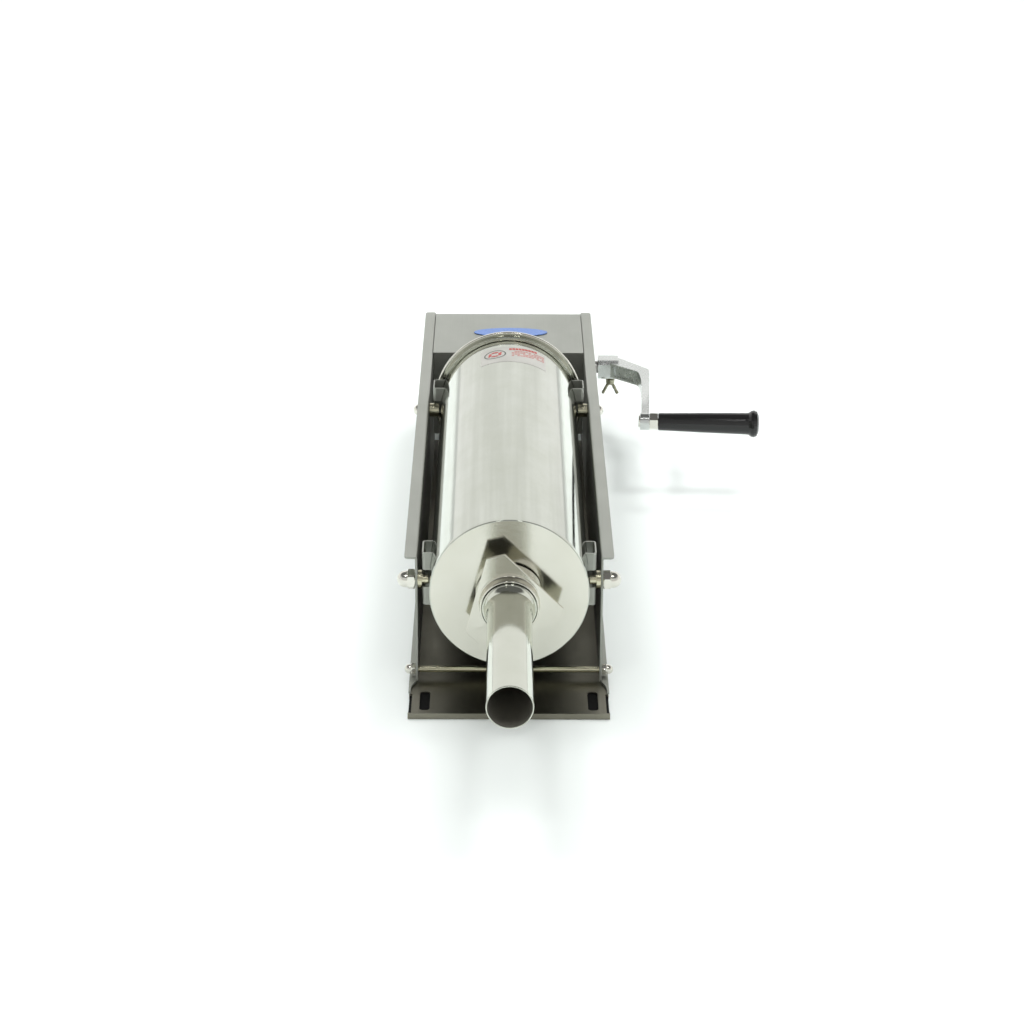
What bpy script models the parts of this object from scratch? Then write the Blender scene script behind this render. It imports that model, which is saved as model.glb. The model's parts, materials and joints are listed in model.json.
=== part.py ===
"""Horizontal hand-cranked sausage stuffer, built as separate pieces in their working places.

Metres, +Z up. The nozzle points along -Y, the crank is on the +X side. The origin is on the
table, in the middle of the flange folded under the tray's front lip.
"""

import math

import bmesh
import bpy

GAP = 0.0003

# Cylinder: axis along Y, closed at the front by a disc that carries the threaded spigot.
AXIS_Z = 0.116
TUBE_FRONT = 0.016
TUBE_REAR = 0.4997
TUBE_R = 0.072
TUBE_WALL = 0.0015
RIM_R = 0.079
RIM_WIDTH = 0.004
SPIGOT_R = 0.0265
SPIGOT_BORE_R = 0.0213
SPIGOT_LENGTH = 0.016

# Nozzle and its lock nut, measured forward from the disc.
NOZZLE_R = 0.0199
NOZZLE_WALL = 0.001
NOZZLE_TIP = 0.217
NOZZLE_BASE = 0.0186
FLANGE_R = 0.026
NECK_R = 0.0243
NECK_FRONT = 0.031
NUT_BACK = 0.003
NUT_PLATE_BACK = 0.019
NUT_PLATE_FRONT = 0.022
NUT_BORE_R = 0.025
NUT_THREAD_R = 0.0269
NUT_COLLAR_R = 0.0305
NUT_LOBE_R = 0.0476
NUT_LOBE_HALF = 0.0083

# Tray: a folded pan whose lips stand on the table.
SHEET = 0.0015
TRAY_TOP = 0.00565
TRAY_HALF = 0.092
TRAY_FRONT = -0.006
TRAY_REAR = 0.660
HEM = 0.012
NOTCH_HALF = 0.089
NOTCH_REAR = 0.032
SLOT_X = 0.077
SLOT_HALF = 0.0047
SLOT_FRONT = 0.0008
SLOT_REAR = 0.037

# Side plates: channels with the flanges turned outward.
WALL_IN = 0.0844
WALL_SHEET = 0.002
WALL_OUT = WALL_IN + WALL_SHEET
WALL_TOP = 0.1275
WALL_FOOT = TRAY_TOP + GAP
WALL_FRONT_TOP = 0.069
WALL_FRONT_FOOT = 0.057
WALL_REAR = 0.7575
TOP_FLANGE_X = 0.0963
FOOT_FLANGE_X = 0.0925

# Gearbox between the side plates.
BOX_FRONT = 0.619
BOX_REAR = 0.752
BOX_FOOT = 0.030
BOX_HALF = WALL_IN - GAP
FRAME_IN = 0.027
FRAME_SHEET = 0.003
FRAME_TAB_X = 0.039
FRAME_FOOT = 0.036
FRAME_TOP = 0.1255

# Gear train: the crank pinion drives the large gear, whose shaft carries the rack pinion.
PRESSURE_ANGLE = math.radians(20)
STUB = 0.75
BACKLASH = 0.0003
GEAR_MODULE = 0.002
CRANK_TEETH = 13
DRIVE_TEETH = 32
RACK_MODULE = 0.0025
RACK_PINION_TEETH = 14
GEAR_Y = 0.6624
GEAR_Z = 0.090
CRANK_Z = 0.079
CENTRES = GEAR_MODULE * (CRANK_TEETH + DRIVE_TEETH) / 2
CRANK_Y = GEAR_Y + math.sqrt(CENTRES ** 2 - (GEAR_Z - CRANK_Z) ** 2)
SHAFT_R = 0.007
RACK_HALF = 0.010
RACK_TOP = 0.123
RACK_FRONT = 0.0383
RACK_REAR = 0.752
RACK_PITCH_Z = GEAR_Z + RACK_MODULE * RACK_PINION_TEETH / 2

# Piston.
PISTON_FRONT = 0.020
PISTON_REAR = 0.038
PISTON_R = 0.0696

# Brackets on the cylinder: folded channels that sit over the studs.
BRACKET_OUT = 0.0800
BRACKET_SHEET = 0.0015

# Fasteners through the side plates.
PIVOT_Y = 0.072
PIVOT_Z = 0.104
HOOK_Y = 0.479
HOOK_Z = 0.113
STUD_R = 0.0043
HOOK_R = 0.0072
ROD_Y = 0.066
ROD_Z = 0.0143
ROD_R = 0.003

# Crank: the arm leans inward by a few degrees, and the grip stands square to the arm.
HUB_IN = 0.104
HUB_OUT = 0.1275
HUB_BORE_END = 0.1230
SCREW_X = 0.1188
ARM_HALF_Z = 0.0085
ARM_WIDTH = 0.010
ELBOW = (0.1575, 0.680)
GRIP_AT = (0.1496, 0.534)
ARM_LEAN = math.atan2(ELBOW[0] - GRIP_AT[0], ELBOW[1] - GRIP_AT[1])
GRIP_START = 0.0145
GRIP_END = 0.1245
SPINDLE_R = 0.004


def clear_scene():
    for item in list(bpy.data.objects):
        bpy.data.objects.remove(item, do_unlink=True)


clear_scene()
pieces = bpy.data.collections.new("pieces")
cutters = bpy.data.collections.new("cutters")
for group in (pieces, cutters):
    bpy.context.scene.collection.children.link(group)
cutters.hide_render = True


def material(name, colour, metallic, roughness):
    mat = bpy.data.materials.new(name)
    mat.use_nodes = True
    shader = mat.node_tree.nodes["Principled BSDF"]
    shader.inputs["Base Color"].default_value = (*colour, 1.0)
    shader.inputs["Metallic"].default_value = metallic
    shader.inputs["Roughness"].default_value = roughness
    return mat


SATIN = material("satin_stainless", (0.56, 0.56, 0.53), 1.0, 0.38)
POLISHED = material("polished_stainless", (0.66, 0.66, 0.63), 1.0, 0.18)
ZINC = material("yellow_zinc", (0.62, 0.60, 0.44), 1.0, 0.32)
PLATED = material("bright_plated_steel", (0.62, 0.61, 0.57), 1.0, 0.24)
CAST = material("cast_aluminium", (0.66, 0.67, 0.66), 1.0, 0.42)
STEEL = material("machined_steel", (0.45, 0.45, 0.44), 1.0, 0.35)
BRONZE = material("bearing_bronze", (0.52, 0.36, 0.17), 1.0, 0.38)
GLOSS_BLACK = material("gloss_black_plastic", (0.012, 0.012, 0.013), 0.0, 0.12)
NYLON = material("white_nylon", (0.78, 0.78, 0.74), 0.0, 0.45)
SILICONE = material("grey_silicone", (0.42, 0.42, 0.41), 0.0, 0.55)
RUBBER = material("black_rubber", (0.015, 0.015, 0.015), 0.0, 0.60)
BLUE = material("blue_enamel", (0.05, 0.16, 0.52), 0.0, 0.30)


def add_object(name, mesh, mat=None):
    obj = bpy.data.objects.new(name, mesh)
    pieces.objects.link(obj)
    if mat is not None:
        mesh.materials.append(mat)
    return obj


def prism(name, outline, axis, low, high, mat=None):
    """Extrude a closed outline along an axis. The outline's pairs are the other two axes in order."""
    spots = {
        "X": lambda a, b, h: (h, a, b),
        "Y": lambda a, b, h: (a, h, b),
        "Z": lambda a, b, h: (a, b, h),
    }
    place = spots[axis]
    work = bmesh.new()
    bottom = [work.verts.new(place(a, b, low)) for a, b in outline]
    top = [work.verts.new(place(a, b, high)) for a, b in outline]
    count = len(outline)
    work.faces.new(bottom)
    work.faces.new(top)
    for i in range(count):
        j = (i + 1) % count
        work.faces.new((bottom[i], bottom[j], top[j], top[i]))
    bmesh.ops.recalc_face_normals(work, faces=work.faces)
    mesh = bpy.data.meshes.new(name)
    work.to_mesh(mesh)
    work.free()
    return add_object(name, mesh, mat)


def box(name, low, high, mat=None):
    outline = [(low[0], low[1]), (high[0], low[1]), (high[0], high[1]), (low[0], high[1])]
    return prism(name, outline, "Z", low[2], high[2], mat)


def turned(name, profile, mat=None, steps=32, closed=False):
    """Turn a profile of (radius, height) pairs about local Z. It runs down the outer side."""
    mesh = bpy.data.meshes.new(name)
    edges = [(i, i + 1) for i in range(len(profile) - 1)]
    if closed:
        edges.append((len(profile) - 1, 0))
    mesh.from_pydata([(r, 0.0, h) for r, h in profile], edges, [])
    obj = add_object(name, mesh, mat)
    screw = obj.modifiers.new("turn", "SCREW")
    screw.axis = "Z"
    screw.angle = 2 * math.pi
    screw.steps = steps
    screw.render_steps = steps
    screw.use_merge_vertices = True
    screw.merge_threshold = 0.00002
    screw.use_smooth_shade = True
    return obj


def along_x(obj, x, y, z, side=1):
    """Point local +Z along +X, or along -X for the left side."""
    obj.rotation_euler = (0, side * math.pi / 2, 0)
    obj.location = (x, y, z)
    return obj


def forward(obj, y, z=AXIS_Z, x=0.0):
    """Point local +Z along -Y."""
    obj.rotation_euler = (math.pi / 2, 0, 0)
    obj.location = (x, y, z)
    return obj


def shape_with(target, tool, operation):
    """Cut a tool out of the target, or join it on, and keep the tool among the cutters."""
    pieces.objects.unlink(tool)
    cutters.objects.link(tool)
    tool.hide_render = True
    tool.display_type = "WIRE"
    step = target.modifiers.new(operation.lower(), "BOOLEAN")
    step.operation = operation
    step.solver = "EXACT"
    step.object = tool
    return target


def cut(target, *tools):
    for tool in tools:
        shape_with(target, tool, "DIFFERENCE")
    return target


def join(target, *tools):
    for tool in tools:
        shape_with(target, tool, "UNION")
    return target


def rod(name, radius, low, high, mat=None, steps=32):
    """A round bar along local Z."""
    circle = [
        (radius * math.cos(2 * math.pi * i / steps), radius * math.sin(2 * math.pi * i / steps))
        for i in range(steps)]
    bar = prism(name, circle, "Z", low, high, mat)
    for face in bar.data.polygons:
        face.use_smooth = len(face.vertices) == 4
    return bar


def cross_hole(name, radius, y, z, side=1, low=0.080, high=0.090, steps=32):
    """A cutting bar along X through one side plate."""
    return along_x(rod(name, radius, low, high, steps=steps), 0, y, z, side)


def arc(radius, start, end, count, centre=(0.0, 0.0)):
    points = []
    for i in range(count + 1):
        angle = math.radians(start + (end - start) * i / count)
        points.append((centre[0] + radius * math.cos(angle), centre[1] + radius * math.sin(angle)))
    return points


def rounded_rectangle(low, high, radius, count=4):
    corners = [
        ((high[0] - radius, high[1] - radius), 0),
        ((low[0] + radius, high[1] - radius), 90),
        ((low[0] + radius, low[1] + radius), 180),
        ((high[0] - radius, low[1] + radius), 270),
    ]
    points = []
    for centre, start in corners:
        points += arc(radius, start, start + 90, count, centre)
    return points


def hexagon(across_flats):
    return arc(across_flats / math.sqrt(3), 0, 300, 5)


# ---------------------------------------------------------------- tray

def make_tray():
    under = TRAY_TOP - SHEET
    tray = box("base_tray", (-TRAY_HALF, TRAY_FRONT, under), (TRAY_HALF, TRAY_REAR, TRAY_TOP), SATIN)
    lip = prism("tray_lip", [
        (TRAY_FRONT, under + SHEET / 2), (TRAY_FRONT, 0.0), (TRAY_FRONT + HEM, 0.0),
        (TRAY_FRONT + HEM, SHEET), (TRAY_FRONT + SHEET, SHEET), (TRAY_FRONT + SHEET, under + SHEET / 2),
    ], "X", -TRAY_HALF, TRAY_HALF)
    join(tray, lip)
    for side in (-1, 1):
        outer = side * TRAY_HALF
        inner = side * (TRAY_HALF - SHEET)
        hem = side * (TRAY_HALF - HEM)
        skirt = prism("tray_skirt", [
            (outer, under + SHEET / 2), (outer, 0.0), (hem, 0.0), (hem, SHEET), (inner, SHEET),
            (inner, under + SHEET / 2),
        ], "Y", NOTCH_REAR, TRAY_REAR)
        join(tray, skirt)
    for side in (-1, 1):
        notch_in = side * NOTCH_HALF
        notch_out = side * (TRAY_HALF + 0.002)
        cut(tray, box(
            "tray_notch", (min(notch_in, notch_out), TRAY_FRONT + SHEET, SHEET * 1.6),
            (max(notch_in, notch_out), NOTCH_REAR, TRAY_TOP + 0.003)))
        slot = rounded_rectangle(
            (side * SLOT_X - SLOT_HALF, SLOT_FRONT), (side * SLOT_X + SLOT_HALF, SLOT_REAR), 0.0035)
        cut(tray, prism("tray_slot", slot, "Z", -0.002, TRAY_TOP + 0.004))
    return tray


def make_corner_pads():
    """Rubber pads under the tray's front corners. They show through the slots and the notches."""
    front = TRAY_FRONT + SHEET + GAP
    rear = NOTCH_REAR - GAP
    for word, side in (("left", -1), ("right", 1)):
        outline = [
            (side * 0.0660, front), (side * 0.0915, front), (side * 0.0915, rear), (side * 0.0885, rear),
            (side * 0.0885, 0.043), (side * 0.0660, 0.043),
        ]
        prism("corner_pad_" + word, outline, "Z", SHEET + GAP, TRAY_TOP - SHEET - GAP, RUBBER)


# ---------------------------------------------------------------- side plates

def make_side_plate(name, side):
    web = prism(name, [
        (WALL_FRONT_TOP, WALL_TOP), (WALL_FRONT_FOOT, WALL_FOOT),
        (WALL_REAR, WALL_FOOT), (WALL_REAR, WALL_TOP),
    ], "X", min(side * WALL_IN, side * WALL_OUT), max(side * WALL_IN, side * WALL_OUT), SATIN)
    corner = 0.004
    top_outline = [(side * (WALL_IN + SHEET / 2), WALL_FRONT_TOP)]
    for x, y in arc(corner, 270, 360, 4, (TOP_FLANGE_X - corner, WALL_FRONT_TOP + corner)):
        top_outline.append((side * x, y))
    for x, y in arc(corner, 0, 90, 4, (TOP_FLANGE_X - corner, WALL_REAR - corner)):
        top_outline.append((side * x, y))
    top_outline.append((side * (WALL_IN + SHEET / 2), WALL_REAR))
    join(web, prism("wall_top_flange", top_outline, "Z", WALL_TOP - WALL_SHEET, WALL_TOP))
    foot_tip = 0.0905
    run = WALL_FRONT_FOOT - NOTCH_REAR - 0.006
    foot = [(side * (WALL_IN + SHEET / 2), WALL_FRONT_FOOT)]
    for part in (0.25, 0.5, 0.75, 1.0):
        x = WALL_IN + (foot_tip - WALL_IN) * math.sin(part * math.pi / 2)
        foot.append((side * x, WALL_FRONT_FOOT - run * part))
    foot += [
        (side * foot_tip, NOTCH_REAR), (side * FOOT_FLANGE_X, NOTCH_REAR),
        (side * FOOT_FLANGE_X, WALL_REAR), (side * (WALL_IN + SHEET / 2), WALL_REAR),
    ]
    join(web, prism("wall_foot_flange", foot, "Z", WALL_FOOT, WALL_FOOT + WALL_SHEET))
    if side > 0:
        cut(web, cross_hole("crank_hole", 0.0098, CRANK_Y, CRANK_Z, side))
    cut(
        web,
        cross_hole("pivot_hole", 0.0053, PIVOT_Y, PIVOT_Z, side),
        cross_hole("hook_hole", 0.0043, HOOK_Y, HOOK_Z, side),
        cross_hole("rod_hole", 0.0033, ROD_Y, ROD_Z, side),
    )
    for y in (BOX_FRONT + 0.0075, BOX_REAR - 0.0075):
        cut(web, cross_hole("screw_hole", 0.0028, y, 0.060, side, steps=16))
    return web


# ---------------------------------------------------------------- gearbox shell

def make_gearbox():
    front = BOX_FRONT
    rear = BOX_REAR
    top = WALL_TOP
    cover = prism("gearbox_cover", [
        (front, BOX_FOOT), (front, top), (rear, top), (rear, BOX_FOOT), (rear - SHEET, BOX_FOOT),
        (rear - SHEET, top - SHEET), (front + SHEET, top - SHEET), (front + SHEET, BOX_FOOT),
    ], "X", -BOX_HALF, BOX_HALF, SATIN)
    for side in (-1, 1):
        low = min(side * BOX_HALF, side * (BOX_HALF - SHEET))
        high = low + SHEET
        tabs = ((front + SHEET / 2, front + 0.014), (rear - 0.014, rear - SHEET / 2))
        for start, end in tabs:
            join(cover, box("cover_tab", (low, start, 0.045), (high, end, 0.105)))
        for y in (front + 0.0075, rear - 0.0075):
            cut(cover, cross_hole("tab_hole", 0.0028, y, 0.060, side, steps=16))
    window_low = RACK_PITCH_Z - STUB * RACK_MODULE - 0.0008
    cut(cover, box(
        "rack_window", (-RACK_HALF - 0.0006, front - 0.01, window_low),
        (RACK_HALF + 0.0006, rear + 0.01, RACK_TOP + 0.0006)))

    for name, side in (("gear_frame_left", -1), ("gear_frame_right", 1)):
        inner = side * FRAME_IN
        outer = side * (FRAME_IN + FRAME_SHEET)
        tab = side * FRAME_TAB_X
        start = front + SHEET + GAP
        end = rear - SHEET - GAP
        frame = prism(name, [
            (inner, start), (tab, start), (tab, start + FRAME_SHEET), (outer, start + FRAME_SHEET),
            (outer, end - FRAME_SHEET), (tab, end - FRAME_SHEET), (tab, end), (inner, end),
        ], "Z", FRAME_FOOT, FRAME_TOP, SATIN)
        cut(
            frame,
            cross_hole("frame_crank_hole", 0.0098, CRANK_Y, CRANK_Z, side, 0.020, 0.045),
            cross_hole("frame_gear_hole", 0.0098, GEAR_Y, GEAR_Z, side, 0.020, 0.045),
        )

    for name, low, high in (
        ("rack_guide_front", front + SHEET + GAP, front + 0.0085),
        ("rack_guide_rear", rear - 0.0085, rear - SHEET - GAP),
    ):
        guide = box(name, (-0.018, low, 0.098), (0.018, high, top - SHEET - GAP), NYLON)
        cut(guide, box(
            name + "_window", (-RACK_HALF - 0.0004, low - 0.01, window_low + 0.0002),
            (RACK_HALF + 0.0004, high + 0.01, RACK_TOP + 0.0004)))

    oval = [(0.0028 + 0.0420 * x, 0.6860 + 0.0142 * y) for x, y in arc(1.0, 0, 345, 23)]
    badge = prism("name_badge", oval, "Z", top + GAP, top + GAP + 0.0008, BLUE)
    return cover, badge


def make_cover_screws():
    number = 0
    for side in (-1, 1):
        for y in (BOX_FRONT + 0.0075, BOX_REAR - 0.0075):
            number += 1
            head = WALL_OUT + GAP
            screw = turned(f"cover_screw_{number}", [
                (0, head + 0.0022), (0.0028, head + 0.0020), (0.0044, head + 0.0011), (0.0047, head),
                (0.0024, head), (0.0024, 0.0800), (0, 0.0800),
            ], PLATED, 20)
            along_x(screw, 0, y, 0.060, side)


# ---------------------------------------------------------------- gear train

def involute(angle):
    return math.tan(angle) - angle


def gear_outline(teeth, module, first_tooth):
    """Outline of a spur gear in the YZ plane, with one tooth centred at first_tooth radians."""
    pitch_r = teeth * module / 2
    base_r = pitch_r * math.cos(PRESSURE_ANGLE)
    tip_r = pitch_r + STUB * module
    root_r = pitch_r - module
    half = math.pi / (2 * teeth) - BACKLASH / (2 * pitch_r)
    flank = []
    start_r = max(base_r, root_r + 0.0001)
    for i in range(3):
        radius = start_r + (tip_r - start_r) * i / 2
        lean = half + involute(PRESSURE_ANGLE) - involute(math.acos(min(1.0, base_r / radius)))
        flank.append((radius, lean))
    points = []
    for tooth in range(teeth):
        middle = first_tooth + 2 * math.pi * tooth / teeth
        shape = [(root_r, -flank[0][1])] + [(r, -a) for r, a in flank]
        shape += [(r, a) for r, a in reversed(flank)] + [(root_r, flank[0][1])]
        for radius, lean in shape:
            points.append((radius * math.cos(middle + lean), radius * math.sin(middle + lean)))
    return points


def make_gear(name, teeth, module, first_tooth, y, z, low, high):
    outline = [(y + a, z + b) for a, b in gear_outline(teeth, module, first_tooth)]
    gear = prism(name, outline, "X", low, high, STEEL)
    cut(gear, along_x(rod(name + "_bore", SHAFT_R + GAP, low - 0.01, high + 0.01), 0, y, z))
    return gear


def make_gear_train():
    toward_crank = math.atan2(CRANK_Z - GEAR_Z, CRANK_Y - GEAR_Y)
    make_gear("drive_gear", DRIVE_TEETH, GEAR_MODULE, toward_crank, GEAR_Y, GEAR_Z, 0.013, 0.023)
    make_gear(
        "crank_pinion", CRANK_TEETH, GEAR_MODULE, toward_crank + math.pi + math.pi / CRANK_TEETH,
        CRANK_Y, CRANK_Z, 0.012, 0.024)
    make_gear(
        "rack_pinion", RACK_PINION_TEETH, RACK_MODULE, math.pi / 2 + math.pi / RACK_PINION_TEETH,
        GEAR_Y, GEAR_Z, -0.0095, 0.0095)

    end = FRAME_IN + FRAME_SHEET + 0.004
    gear_shaft = turned("gear_shaft", [
        (0, end), (SHAFT_R - 0.001, end), (SHAFT_R, end - 0.001), (SHAFT_R, 0.001 - end),
        (SHAFT_R - 0.001, -end), (0, -end),
    ], STEEL)
    along_x(gear_shaft, 0, GEAR_Y, GEAR_Z)
    tip = HUB_BORE_END - 0.0005
    crank_shaft = turned("crank_shaft", [
        (0, tip), (SHAFT_R - 0.001, tip), (SHAFT_R, tip - 0.001), (SHAFT_R, 0.040), (0.0095, 0.040),
        (0.0095, 0.036), (SHAFT_R, 0.036), (SHAFT_R, 0.001 - end), (SHAFT_R - 0.001, -end), (0, -end),
    ], STEEL)
    along_x(crank_shaft, 0, CRANK_Y, CRANK_Z)

    inner = FRAME_IN - GAP
    outer = FRAME_IN + FRAME_SHEET + 0.001
    for name, side, y, z in (
        ("crank_bush_left", -1, CRANK_Y, CRANK_Z), ("crank_bush_right", 1, CRANK_Y, CRANK_Z),
        ("gear_bush_left", -1, GEAR_Y, GEAR_Z), ("gear_bush_right", 1, GEAR_Y, GEAR_Z),
    ):
        bush = turned(name, [
            (0.0095, outer), (0.0095, inner), (0.0112, inner), (0.0112, inner - 0.0015),
            (SHAFT_R + GAP, inner - 0.0015), (SHAFT_R + GAP, outer),
        ], BRONZE, 24, closed=True)
        along_x(bush, 0, y, z, side)
    face = WALL_OUT + GAP
    wall_bush = turned("crank_wall_bush", [
        (0.0125, face + 0.0020), (0.0125, face), (0.0095, face), (0.0095, WALL_IN - 0.001),
        (SHAFT_R + GAP, WALL_IN - 0.001), (SHAFT_R + GAP, face + 0.0020),
    ], BRONZE, closed=True)
    along_x(wall_bush, 0, CRANK_Y, CRANK_Z)


def make_rack():
    pitch = math.pi * RACK_MODULE
    tip_z = RACK_PITCH_Z - STUB * RACK_MODULE
    root_z = RACK_PITCH_Z + RACK_MODULE
    slope = math.tan(PRESSURE_ANGLE)
    half = pitch / 4 - BACKLASH / 2
    tip_half = half - (RACK_PITCH_Z - tip_z) * slope
    root_half = half + (root_z - RACK_PITCH_Z) * slope
    ahead = int((GEAR_Y - RACK_FRONT - 0.085) / pitch)
    behind = int((RACK_REAR - GEAR_Y - 0.010) / pitch)
    outline = [(RACK_FRONT, RACK_TOP), (RACK_FRONT, tip_z)]
    outline.append((GEAR_Y - ahead * pitch - pitch / 2 - half, tip_z))
    outline.append((GEAR_Y - ahead * pitch - pitch / 2 - half, root_z))
    for k in range(-ahead, behind + 1):
        middle = GEAR_Y + k * pitch
        outline += [
            (middle - root_half, root_z), (middle - tip_half, tip_z),
            (middle + tip_half, tip_z), (middle + root_half, root_z),
        ]
    outline += [(RACK_REAR, root_z), (RACK_REAR, RACK_TOP)]
    rack = prism("rack", outline, "X", -RACK_HALF, RACK_HALF, STEEL)
    join(rack, forward(rod("rack_stud", 0.006, -0.004, RACK_FRONT - 0.0225), RACK_FRONT))
    cut(rack, forward(rod("rack_tapping", 0.0033, -0.010, 0.016, steps=16), RACK_REAR, 0.1165))

    stop = box(
        "rack_stop", (-0.016, RACK_REAR + GAP, 0.098), (0.016, RACK_REAR + 0.0043, 0.1262), PLATED)
    cut(stop, forward(rod("stop_hole", 0.0035, -0.010, 0.010, steps=24), RACK_REAR, 0.1165))
    head = -0.0046
    screw = turned("rack_stop_screw", [
        (0, 0.011), (0.003, 0.011), (0.003, head), (0.0058, head), (0.0060, head - 0.001),
        (0.0048, head - 0.0030), (0, head - 0.0036),
    ], PLATED, 20)
    forward(screw, RACK_REAR, 0.1165)


def make_piston():
    length = PISTON_REAR - PISTON_FRONT
    seal_front = length - 0.006
    seal_rear = length - 0.012
    disc = turned("piston_disc", [
        (0.0130, length), (PISTON_R - 0.001, length), (PISTON_R, length - 0.001), (PISTON_R, seal_front),
        (0.0663, seal_front), (0.0663, seal_rear), (PISTON_R, seal_rear), (PISTON_R, 0.001),
        (PISTON_R - 0.001, 0), (0.0063, 0), (0.0063, length - 0.009), (0.0130, length - 0.009),
    ], NYLON, 40, closed=True)
    forward(disc, PISTON_REAR)
    seal = turned("piston_seal", [
        (0.0666, seal_front - GAP), (0.0693, seal_front - GAP), (0.0702, seal_front - 0.0015),
        (0.0702, seal_rear + 0.0015), (0.0693, seal_rear + GAP), (0.0666, seal_rear + GAP),
    ], SILICONE, 40, closed=True)
    forward(seal, PISTON_REAR)
    low = length - 0.009 + GAP
    nut = prism("piston_nut", hexagon(0.018), "Z", low, low + 0.0065, PLATED)
    bore = rod("piston_nut_bore", 0.0063, low - 0.005, low + 0.02, steps=24)
    cut(nut, bore)
    forward(nut, PISTON_REAR)
    forward(bore, PISTON_REAR)


# ---------------------------------------------------------------- cylinder and its brackets

def make_cylinder():
    length = TUBE_REAR - TUBE_FRONT
    inside = TUBE_R - TUBE_WALL
    drum = turned("cylinder", [
        (SPIGOT_BORE_R, length + SPIGOT_LENGTH), (SPIGOT_R - 0.001, length + SPIGOT_LENGTH),
        (SPIGOT_R, length + SPIGOT_LENGTH - 0.001), (SPIGOT_R, length), (TUBE_R - 0.0025, length),
        (TUBE_R - 0.0007, length - 0.0007), (TUBE_R, length - 0.0025), (TUBE_R, 0), (inside, 0),
        (inside, length - 0.003), (SPIGOT_BORE_R, length - 0.003),
    ], POLISHED, 64, closed=True)
    forward(drum, TUBE_REAR)
    rim = turned("cylinder_rim", [
        (RIM_R - 0.0015, RIM_WIDTH), (RIM_R, RIM_WIDTH - 0.0015), (RIM_R, 0.0015), (RIM_R - 0.0015, 0),
        (TUBE_R + GAP, 0), (TUBE_R + GAP, RIM_WIDTH),
    ], POLISHED, 64, closed=True)
    forward(rim, TUBE_REAR)


def tube_clearance(name):
    return forward(rod(name, TUBE_R + GAP, -0.1, 0.7, steps=64), TUBE_REAR)


def folded_channel(name, side, front, rear, low, high):
    """A sheet folded to a U in plan, with its web outside and its legs cut to the tube's curve."""
    bend = 0.003
    root = 0.0660
    outline = [(root, front)]
    outline += arc(bend, 270, 360, 3, (BRACKET_OUT - bend, front + bend))
    outline += arc(bend, 0, 90, 3, (BRACKET_OUT - bend, rear - bend))
    outline.append((root, rear))
    outline.append((root, rear - BRACKET_SHEET))
    outline += arc(bend - BRACKET_SHEET, 90, 0, 3, (BRACKET_OUT - bend, rear - bend))
    outline += arc(bend - BRACKET_SHEET, 360, 270, 3, (BRACKET_OUT - bend, front + bend))
    outline.append((root, front + BRACKET_SHEET))
    channel = prism(name, [(side * x, y) for x, y in outline], "Z", low, high, SATIN)
    return cut(channel, tube_clearance(name + "_saddle"))


def make_brackets():
    for word, side in (("left", -1), ("right", 1)):
        low = min(side * 0.060, side * 0.083)
        high = max(side * 0.060, side * 0.083)
        front = PIVOT_Y - 0.006
        lug = folded_channel(
            "front_bracket_" + word, side, front, PIVOT_Y + 0.022, PIVOT_Z - 0.0235, PIVOT_Z + 0.029)
        slot = rounded_rectangle(
            (front - 0.02, PIVOT_Z - 0.0055), (PIVOT_Y + 0.0085, PIVOT_Z + 0.0118), 0.0045)
        cut(lug, prism("bracket_slot", slot, "X", low, high))

        front = HOOK_Y - 0.011
        hook = folded_channel(
            "rear_bracket_" + word, side, front, HOOK_Y + 0.0155, HOOK_Z - 0.009, HOOK_Z + 0.029)
        mouth = rounded_rectangle(
            (front - 0.02, HOOK_Z - 0.03), (HOOK_Y + 0.0085, HOOK_Z + 0.0138), 0.0045)
        cut(hook, prism("hook_mouth", mouth, "X", low, high))


# ---------------------------------------------------------------- nozzle and lock nut

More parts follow.
